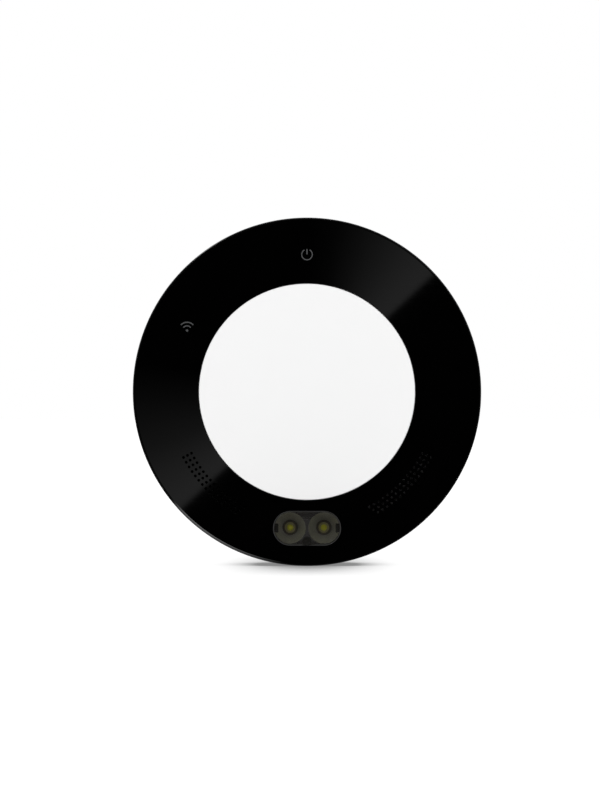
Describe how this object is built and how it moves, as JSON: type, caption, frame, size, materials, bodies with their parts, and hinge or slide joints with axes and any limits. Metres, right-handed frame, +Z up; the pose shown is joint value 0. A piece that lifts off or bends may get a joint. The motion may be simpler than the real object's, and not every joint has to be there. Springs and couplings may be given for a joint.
{
  "type": "garage door controller",
  "caption": "Round wall-mounted smart garage door controller with a gloss black ring, white centre, sounder grilles, warning lamp window and twist-lock plate.",
  "frame": {"origin": "centre of the wall plate, in the plane of its back, midway between its screw holes", "axes": "+Z up, -Y out of the wall towards the viewer, +X to the viewer's right"},
  "size_m": [0.13, 0.0291, 0.13],
  "materials": {
    "gloss_shell": "mirror-smooth black",
    "satin_shell": "fine satin black",
    "plate_plastic": "fine satin black",
    "white_cap": "smooth white",
    "smoked_window": "smoked and polished",
    "reflector": "vacuum-metallised",
    "circuit_board": "green solder mask",
    "warning_lamp": "yellow phosphor in a clear lens",
    "indicator_lamp": "white with a clear top",
    "light_pipe": "clear",
    "black_moulding": "as moulded",
    "gasket": "soft foam",
    "mesh": "fine black weave",
    "magnet": "nickel plated",
    "diaphragm": "pressed film",
    "spring_metal": "gold flash",
    "terminal_grey": "as moulded",
    "lever_orange": "as moulded",
    "clamp_metal": "spring steel",
    "relay_case": "blue",
    "capacitor_can": "drawn can",
    "ferrite": "sintered grey",
    "chip_black": "moulded epoxy",
    "fuse_white": "ceramic",
    "can_metal": "tinned",
    "button_grey": "as moulded"
  },
  "bodies": {
    "wall_plate": {"wall_plate": "plate_plastic"},
    "housing": {"rear_shell": "satin_shell", "front_shell": "gloss_shell", "centre_cap": "white_cap", "lamp_window": "smoked_window", "lamp_reflector": "reflector", "lamp_board": "circuit_board", "warning_lamps": "warning_lamp", "lamp_header": "black_moulding", "sounder_gaskets": "gasket", "speaker_mesh": "mesh", "siren_mesh": "mesh", "speaker_frame": "black_moulding", "speaker_magnet": "magnet", "speaker_diaphragm": "diaphragm", "speaker_contacts": "spring_metal", "siren": "black_moulding", "siren_contacts": "spring_metal", "power_light_pipe": "light_pipe", "network_light_pipe": "light_pipe", "indicator_lamps": "indicator_lamp", "main_board": "circuit_board", "relays": "relay_case", "capacitor": "capacitor_can", "power_inductor": "ferrite", "processor": "chip_black", "memory_chip": "chip_black", "input_couplers": "chip_black", "fuse": "fuse_white", "crystal": "can_metal", "radio_module": "circuit_board", "radio_shield": "can_metal", "output_terminal_block": "terminal_grey", "input_terminal_block": "terminal_grey", "output_clamp_springs": "clamp_metal", "input_clamp_springs": "clamp_metal", "power_socket_shell": "can_metal", "power_socket_tongue": "black_moulding", "reset_switch": "black_moulding"},
    "output_lever_1": {"output_lever_1": "lever_orange"},
    "output_lever_2": {"output_lever_2": "lever_orange"},
    "output_lever_3": {"output_lever_3": "lever_orange"},
    "output_lever_4": {"output_lever_4": "lever_orange"},
    "input_lever_1": {"input_lever_1": "lever_orange"},
    "input_lever_2": {"input_lever_2": "lever_orange"},
    "input_lever_3": {"input_lever_3": "lever_orange"},
    "input_lever_4": {"input_lever_4": "lever_orange"},
    "reset_button": {"reset_button": "button_grey", "reset_plunger": "black_moulding"}
  },
  "joints": [
    {"name": "twist_lock", "type": "hinge", "parent": "wall_plate", "child": "housing", "pos_m": [0, 0, 0], "axis": [0, -1, 0], "range_deg": [0, 15]},
    {"name": "output_lever_1_press", "type": "slide", "parent": "housing", "child": "output_lever_1", "axis": [0, -1, 0], "range_m": [0, 0.0012], "stiffness_N_per_m": 1200, "springref_m": -0.00036},
    {"name": "output_lever_2_press", "type": "slide", "parent": "housing", "child": "output_lever_2", "axis": [0, -1, 0], "range_m": [0, 0.0012], "stiffness_N_per_m": 1200, "springref_m": -0.00036},
    {"name": "output_lever_3_press", "type": "slide", "parent": "housing", "child": "output_lever_3", "axis": [0, -1, 0], "range_m": [0, 0.0012], "stiffness_N_per_m": 1200, "springref_m": -0.00036},
    {"name": "output_lever_4_press", "type": "slide", "parent": "housing", "child": "output_lever_4", "axis": [0, -1, 0], "range_m": [0, 0.0012], "stiffness_N_per_m": 1200, "springref_m": -0.00036},
    {"name": "input_lever_1_press", "type": "slide", "parent": "housing", "child": "input_lever_1", "axis": [0, -1, 0], "range_m": [0, 0.0012], "stiffness_N_per_m": 1200, "springref_m": -0.00036},
    {"name": "input_lever_2_press", "type": "slide", "parent": "housing", "child": "input_lever_2", "axis": [0, -1, 0], "range_m": [0, 0.0012], "stiffness_N_per_m": 1200, "springref_m": -0.00036},
    {"name": "input_lever_3_press", "type": "slide", "parent": "housing", "child": "input_lever_3", "axis": [0, -1, 0], "range_m": [0, 0.0012], "stiffness_N_per_m": 1200, "springref_m": -0.00036},
    {"name": "input_lever_4_press", "type": "slide", "parent": "housing", "child": "input_lever_4", "axis": [0, -1, 0], "range_m": [0, 0.0012], "stiffness_N_per_m": 1200, "springref_m": -0.00036},
    {"name": "reset_press", "type": "slide", "parent": "housing", "child": "reset_button", "axis": [0, -1, 0], "range_m": [0, 0.0007], "stiffness_N_per_m": 500, "springref_m": -0.00021}
  ]
}
